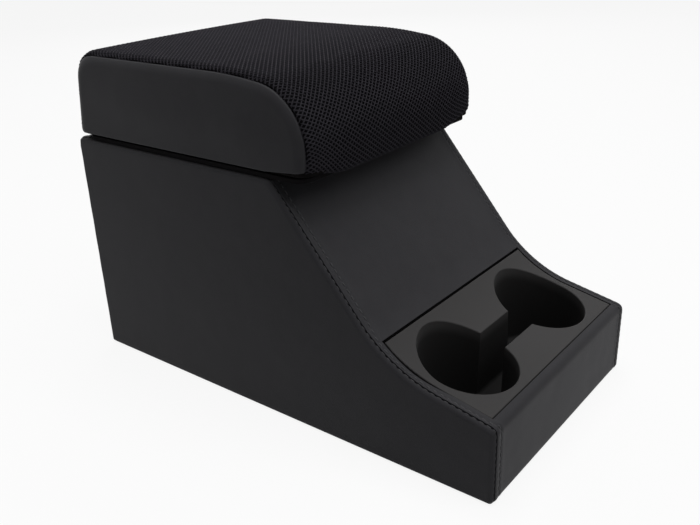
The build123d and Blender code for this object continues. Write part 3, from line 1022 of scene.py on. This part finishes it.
class ARMREST_OT_lid_mesh(bpy.types.Operator):
    """Spacer mesh over the lid's nose, top and rear: a ground darkened as painted shade, and a net of yarn on
    it
    """

    bl_idname = "armrest.lid_mesh"
    bl_label = "Lid mesh"

    def execute(self, context):
        box, lid, look = sizes("box", "lid", "finish")
        half = box.half_width
        cover = lid_cover(lid, half)
        path, section, _ = cover
        across, far = np.broadcast_arrays(section[0][None, :], even(0, path[2][-1], COVER_STEP)[:, None])
        grid = cover_points(lid, half, cover, across, far)
        # the ground's dark colour is painted shade, seen between the yarns
        ground = build_piece("lid_mesh_cover", [{"grid": grid, "flip": True}], MESH_THICKNESS, LID_SHARP)
        place(ground, "mesh_ground", "lid", "mesh", "lid_mesh", "lid_foam")
        nets = [self.yarns(lid, look, half, cover, way) for way in (1, -1)]
        points = np.vstack([net[0] for net in nets])
        faces = np.vstack([nets[0][1], nets[1][1] + len(nets[0][0])])
        yarn = mesh_object("lid_mesh_yarn", points, faces)
        place(yarn, "spacer_mesh", "lid", "mesh")
        return {"FINISHED"}

    def yarns(self, lid, look, half, cover, way):
        """Yarns along one diagonal of the lattice, as flattened tubes over and under the other diagonal's.

        In lattice steps u across and v along, a yarn keeps u + way v at a whole number and a half, and is cut
        where it crosses the other family. Its ring has four points, on the cover's normal and across it.
        """
        wide, far = cover[1][0][-1], cover[0][2][-1]
        count = int(np.ceil(wide / look.lattice_x + far / look.lattice_s)) // 2 + 2
        line = np.arange(-2 * count, 2 * count)[:, None]
        step = np.arange(-2 * count, 2 * count)[None, :]
        u = (line + step + 1) / 2 * look.lattice_x
        v = way * (line - step) / 2 * look.lattice_s
        turn = look.lattice_turn
        w = u * np.cos(turn) - v * np.sin(turn) + wide / 2
        s = u * np.sin(turn) + v * np.cos(turn) + far / 2
        inside = (w > 0) & (w < wide) & (s > 0) & (s < far)
        w, s = np.clip(w, 0, wide), np.clip(s, 0, far)

        def at(dw, ds):
            return cover_points(lid, half, cover, np.clip(w + dw, 0, wide), np.clip(s + ds, 0, far))

        small = 0.0005
        up = unit(np.cross(at(small, 0) - at(-small, 0), at(0, small) - at(0, -small)))
        spots = at(0, 0)
        run = np.gradient(spots, axis=1)
        aside = np.cross(run, up)
        aside /= np.maximum(np.linalg.norm(aside, axis=-1, keepdims=True), 1e-9)
        over = way * np.where((line + step) % 2 == 0, 1, -1)[..., None]
        spots = spots + up * (look.yarn_lift + over * look.yarn_weave)
        aside, up = aside * look.yarn_width, up * look.yarn_height
        points = spots[:, :, None] + np.stack([aside, up, -aside, -up], 2)
        index = np.arange(points[..., 0].size).reshape(points.shape[:3])
        here, there = index[:, :-1], index[:, 1:]
        faces = np.stack([here, there, np.roll(there, -1, 2), np.roll(here, -1, 2)], -1)
        return points.reshape(-1, 3), faces[inside[:, :-1] | inside[:, 1:]].reshape(-1, 4)


class ARMREST_OT_lid_sides(bpy.types.Operator):
    """Vinyl sides of the lid, swelling a little and rolled over into the mesh's seam"""

    bl_idname = "armrest.lid_sides"
    bl_label = "Lid sides"

    def execute(self, context):
        box, lid = sizes("box", "lid")
        loop, (inner, _, _) = lid_loops(lid)
        for side, name in ((-1, "lid_left_trim"), (1, "lid_right_trim")):
            roll = box.half_width, side, lid.shoulder, lid.seam_turn, lid.groove, lid.puff, 0
            patches = rolled_panel(loop, inner, *LID_GRID, *roll)
            for patch in patches:
                patch["grid"] = tucked(lid, box.half_width, patch["grid"])
            piece = build_piece(name + "_vinyl", patches, LID_VINYL_THICKNESS, LID_SHARP)
            place(piece, "satin_vinyl", "lid", "vinyl", name)
        return {"FINISHED"}


class ARMREST_OT_under_panel(bpy.types.Operator):
    """Felt panel under the lid, nearly out to its sides"""

    bl_idname = "armrest.under_panel"
    bl_label = "Under panel"

    def execute(self, context):
        box, lid = sizes("box", "lid")
        low, high = np.array(PANEL_LOW), np.array(PANEL_HIGH)
        low[0], high[0] = -box.half_width + lid.panel_inset, box.half_width - lid.panel_inset
        low[1] = lid.nose + lid.panel_inset + lid.foot
        turn = np.linspace(0, np.pi / 2, 9)
        corner = np.stack([np.cos(turn), np.sin(turn)], -1)
        quarter = [corner, corner[::-1] * [-1, 1], -corner, corner[::-1] * [1, -1]]
        radius = lid.panel_corner
        middle, half = (low + high)[:2] / 2, (high - low)[:2] / 2
        outline = np.vstack([middle + np.sign(q.mean(0)) * (half - radius) + radius * q for q in quarter])
        centre = np.broadcast_to(middle, outline.shape)
        rings = [(centre, low[2]), (outline, low[2]), (outline, high[2]), (centre, high[2])]
        grid = np.stack([np.column_stack([ring, np.full(len(ring), z)]) for ring, z in rings], 1)
        piece = build_piece("lid_under_felt", [{"grid": grid, "wrap": True}])
        place(piece, "needled_felt", "lid", "felt", "lid_under_panel")
        return {"FINISHED"}


class ARMREST_OT_inner_pieces(bpy.types.Operator):
    """Finishes of the boards, linings and hinge"""

    bl_idname = "armrest.inner_pieces"
    bl_label = "Inner pieces"

    def execute(self, context):
        places = ("left_side", "right_side", "front", "slope", "floor", "rear", "lid")
        dress("stained_board", *[place + "_board" for place in places])
        dress("needled_felt", "left_lining", "right_lining", "rear_lining", "floor_carpet")
        dress("plated_steel", "hinge_body_leaf", "hinge_lid_leaf", "hinge_pin")
        dress("plated_steel", "hinge_body_screws", "hinge_lid_screws")
        return {"FINISHED"}


class ARMREST_OT_stage(bpy.types.Operator):
    """Floor, soft lights, white surroundings and the camera"""

    bl_idname = "armrest.stage"
    bl_label = "Stage"

    def execute(self, context):
        scene, stage = context.scene, context.scene.armrest_stage
        scene.view_settings.view_transform = "Standard"
        self.surroundings(scene)
        self.floor(stage)
        self.lamp("top_softbox", (0, 0, 2.55), 42)
        self.lamp("front_softbox", (0.24, -1.36, 2.12), 16)
        self.lamp("rear_softbox", (1.67, 1.40, 1.16), 11)
        self.camera(stage)
        return {"FINISHED"}

    def surroundings(self, scene):
        """White to the camera and to mirrors, softer as light."""
        world = bpy.data.worlds.new("surroundings")
        world.use_nodes = True
        tree = world.node_tree
        back = next(n for n in tree.nodes if n.type == "BACKGROUND")
        back.inputs["Color"].default_value = (1, 1, 1, 1)
        join(tree, back.inputs["Strength"], self.seen(tree, 1.0, 0.06))
        scene.world = world

    def seen(self, tree, shown, lit):
        """One strength for rays that show a thing, another for rays that light it."""
        ray = tree.nodes.new("ShaderNodeLightPath")
        camera, glossy, through = [
            Wire(tree, ray.outputs[f"Is {kind} Ray"]) for kind in ("Camera", "Glossy", "Transmission")
        ]
        share = (camera + glossy + through).least(1.0)
        return lit + share * (shown - lit)

    def floor(self, stage):
        """A pale floor that shows white, and keeps the part's shadow."""
        half = stage.floor_size / 2
        x, y = np.meshgrid([-half, half], [-half, half], indexing="ij")
        grid = np.stack([x, y, np.full(x.shape, -0.0002)], -1)
        floor = build_piece("floor", [{"grid": grid}])
        finish = Finish("pale_floor", Base_Color=(0.82, 0.82, 0.82, 1), Roughness=0.9, Specular_IOR_Level=0.1)
        tree = finish.tree
        glow = finish.node("ShaderNodeEmission", "Emission", Color=(1, 1, 1, 1), Strength=1.0)
        blend = finish.node("ShaderNodeMixShader", "Shader", Fac=self.seen(tree, 0.9, 0.0))
        inputs = blend.socket.node.inputs
        tree.links.new(finish.shader.outputs[0], inputs[1])
        join(tree, inputs[2], glow)
        output = next(n for n in tree.nodes if n.type == "OUTPUT_MATERIAL")
        join(tree, output.inputs["Surface"], blend)
        floor.data.materials.append(finish.material)

    def lamp(self, name, at, watts):
        """A square area lamp that faces the part's middle."""
        data = bpy.data.lights.new(name, "AREA")
        data.size = 1.6
        data.energy = watts
        at, middle = np.array(at, float), np.array([0, 0, 0.15])
        self.aim(name, data, at, unit(at - middle), [0, 1, 0.01])

    def camera(self, stage):
        """Camera turned by azimuth and elevation about the part, then by its roll about the view."""
        a, e = stage.azimuth, stage.elevation
        back = np.array([np.sin(a) * np.cos(e), -np.cos(a) * np.cos(e), np.sin(e)])
        data = bpy.data.cameras.new("camera")
        data.sensor_fit = "HORIZONTAL"
        data.sensor_width = 36
        data.lens = stage.lens
        at = np.array(stage.camera_at)
        bpy.context.scene.camera = self.aim("camera", data, at, back, [0, 0, 1], stage.camera_roll)

    def aim(self, name, data, at, back, top, roll=0.0):
        """Adds a lamp or camera that looks against back, its right side square to top, then rolled."""
        right = unit(np.cross(top, back))
        right = np.cos(roll) * right + np.sin(roll) * np.cross(back, right)
        matrix = np.eye(4)
        matrix[:3] = np.stack([right, np.cross(back, right), back, at], 1)
        item = bpy.data.objects.new(name, data)
        item.matrix_world = Matrix(matrix.tolist())
        bpy.context.collection.objects.link(item)
        return item


PIECES = (
    ARMREST_OT_side_trims,
    ARMREST_OT_centre_trim,
    ARMREST_OT_rear_trim,
    ARMREST_OT_stitches,
    ARMREST_OT_cup_holder,
    ARMREST_OT_lid_mesh,
    ARMREST_OT_lid_sides,
    ARMREST_OT_under_panel,
    ARMREST_OT_inner_pieces,
    ARMREST_OT_stage,
)
GROUPS = {
    "armrest_box": ArmrestBox,
    "armrest_stitch": ArmrestStitch,
    "armrest_lid": ArmrestLid,
    "armrest_finish": ArmrestFinish,
    "armrest_stage": ArmrestStage,
}


class ARMREST_PT_sidebar(bpy.types.Panel):
    """Lists the armrest's pieces and sizes"""

    bl_idname = "ARMREST_PT_sidebar"
    bl_label = "Armrest"
    bl_space_type = "VIEW_3D"
    bl_region_type = "UI"
    bl_category = "Armrest"

    def draw(self, context):
        for operator in PIECES:
            self.layout.operator(operator.bl_idname)
        for name, group in GROUPS.items():
            column = self.layout.box().column()
            column.label(text=group.__doc__.rstrip("."))
            for size in group.__annotations__:
                label = size.replace("_", " ").capitalize()
                column.prop(getattr(context.scene, name), size, text=label)


CLASSES = (*GROUPS.values(), *PIECES, ARMREST_PT_sidebar)


def register():
    for cls in CLASSES:
        bpy.utils.register_class(cls)
    for name, group in GROUPS.items():
        setattr(bpy.types.Scene, name, PointerProperty(type=group))


def unregister():
    for name in GROUPS:
        delattr(bpy.types.Scene, name)
    for cls in reversed(CLASSES):
        bpy.utils.unregister_class(cls)


def main():
    register()
    bpy.ops.armrest.side_trims()
    bpy.ops.armrest.centre_trim()
    bpy.ops.armrest.rear_trim()
    bpy.ops.armrest.stitches()
    bpy.ops.armrest.cup_holder()
    bpy.ops.armrest.lid_mesh()
    bpy.ops.armrest.lid_sides()
    bpy.ops.armrest.under_panel()
    bpy.ops.armrest.inner_pieces()
    bpy.ops.armrest.stage()


if __name__ == "__main__":
    main()
